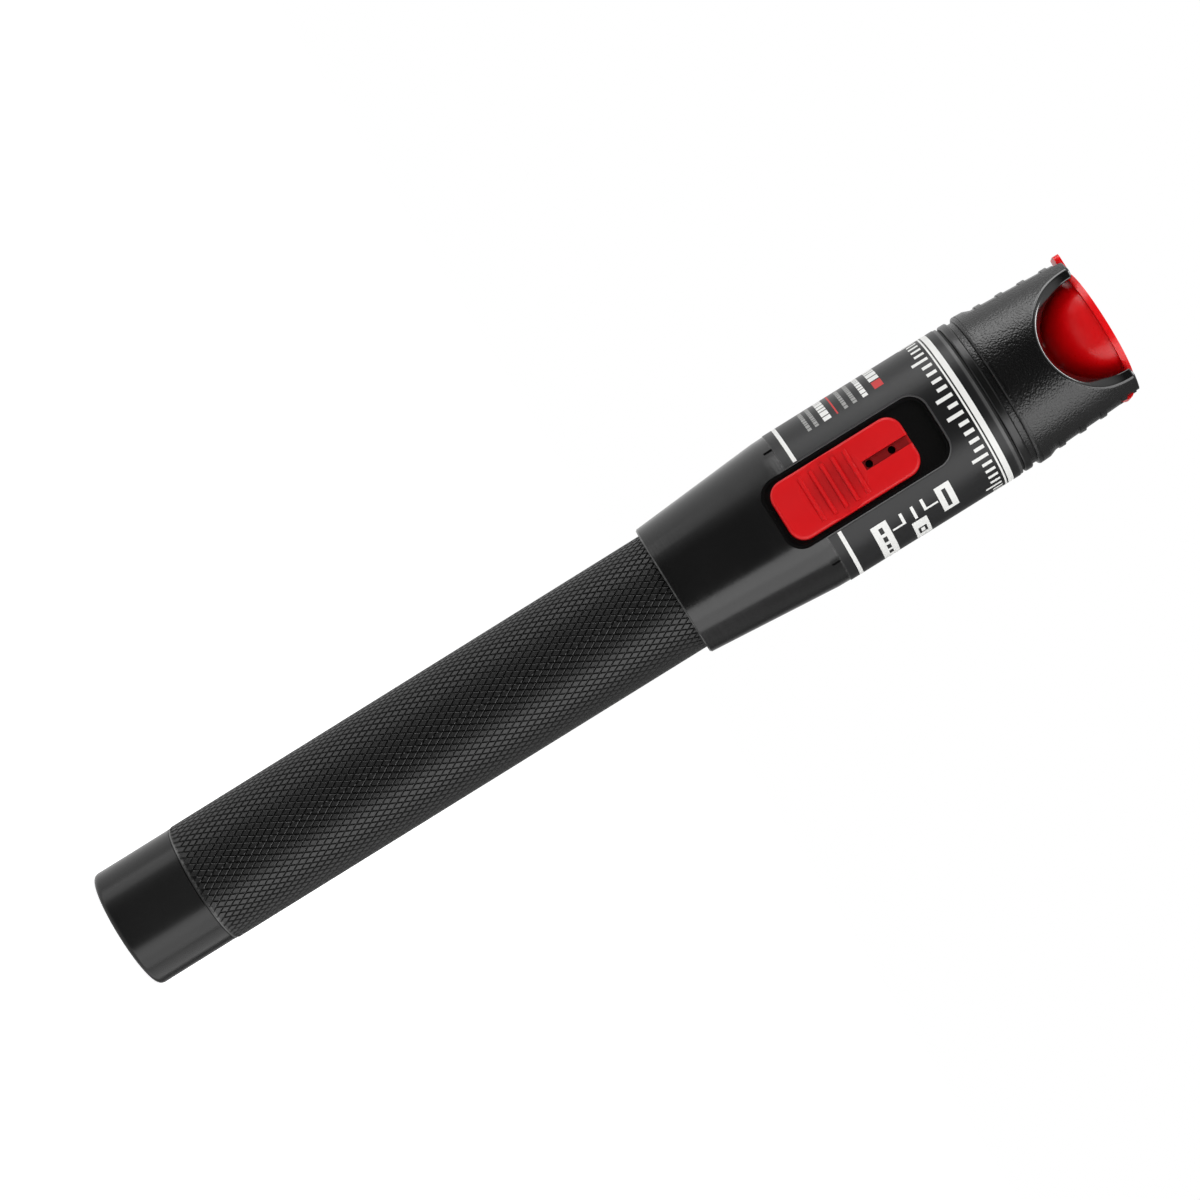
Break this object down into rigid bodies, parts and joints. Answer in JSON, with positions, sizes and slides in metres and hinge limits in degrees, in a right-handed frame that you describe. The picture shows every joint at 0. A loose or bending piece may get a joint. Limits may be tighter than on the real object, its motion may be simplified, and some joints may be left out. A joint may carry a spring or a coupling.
{
  "type": "visual fault locator",
  "caption": "Pen-shaped red laser tester for optical fibre, with a knurled battery grip, a thumb slide switch and a hinged dust cap over its ferrule port.",
  "frame": {"origin": "centre of the flat tail face that the pen stands on", "axes": "+Z along the pen towards the fibre port; the switch faces -Y; the dust cap hinges at +X"},
  "size_m": [0.0264, 0.0273, 0.178],
  "materials": {
    "tail_cap": "satin black anodised",
    "rubber_seal": "matt black",
    "contact_metal": "bright plated",
    "spring_steel": "bright nickel",
    "battery_sleeve": "printed sleeve, satin",
    "grip_tube": "black anodised, diamond knurl",
    "collar": "black anodised, fine turned",
    "carrier_plastic": "matt ivory",
    "housing": "black anodised",
    "label": "satin charcoal film with white marks",
    "tray_plastic": "black",
    "red_slider": "satin red",
    "switch_metal": "tin plated",
    "board": "green solder mask",
    "brass": "turned",
    "lens_glass": "clear",
    "ceramic": "white zirconia",
    "steel": "bright",
    "ring_plastic": "satin black",
    "head_plastic": "glossy black, fine pebble texture",
    "red_cap": "glossy red"
  },
  "bodies": {
    "pen_body": {"battery_lower": "battery_sleeve", "battery_upper": "battery_sleeve", "battery_tube": "grip_tube", "tube_front_seal": "rubber_seal", "collar": "collar", "contact_carrier": "carrier_plastic", "positive_contact": "contact_metal", "switch_housing": "housing", "label_wrap": "label", "switch_tray": "tray_plastic", "slide_switch": "switch_metal", "circuit_board": "board", "board_screws": "steel", "laser_barrel": "brass", "laser_diode": "contact_metal", "focusing_lens": "lens_glass", "port_nose": "steel", "ferrule_sleeve": "ceramic", "head_seal": "rubber_seal", "front_ring": "ring_plastic", "head_shroud": "head_plastic", "hinge_pin": "steel"},
    "slider": {"slider_button": "red_slider", "switch_lever": "carrier_plastic"},
    "dust_cap": {"dust_cap": "red_cap"},
    "tail_cap_feed": {"tail_cap_seal": "rubber_seal"},
    "tail_cap": {"tail_cap": "tail_cap", "tail_contact": "contact_metal", "battery_spring": "spring_steel"}
  },
  "joints": [
    {"name": "switch_slide", "type": "slide", "parent": "pen_body", "child": "slider", "axis": [0, 0, 1], "range_m": [0, 0.004]},
    {"name": "dust_cap_hinge", "type": "hinge", "parent": "pen_body", "child": "dust_cap", "pos_m": [0.011, 0, 0.1756], "axis": [0, 1, 0], "range_deg": [0, 150]},
    {"name": "tail_cap_feed", "type": "slide", "parent": "pen_body", "child": "tail_cap_feed", "axis": [0, 0, -1], "range_m": [0, 0.0065]},
    {"name": "tail_cap_screw", "type": "hinge", "parent": "tail_cap_feed", "child": "tail_cap", "pos_m": [0, 0, 0], "axis": [0, 0, -1], "range_deg": [0, 2160]}
  ],
  "couplings": [
    {"joint": "tail_cap_feed", "follows": "tail_cap_screw", "m_per_rad": 0.00015915}
  ]
}
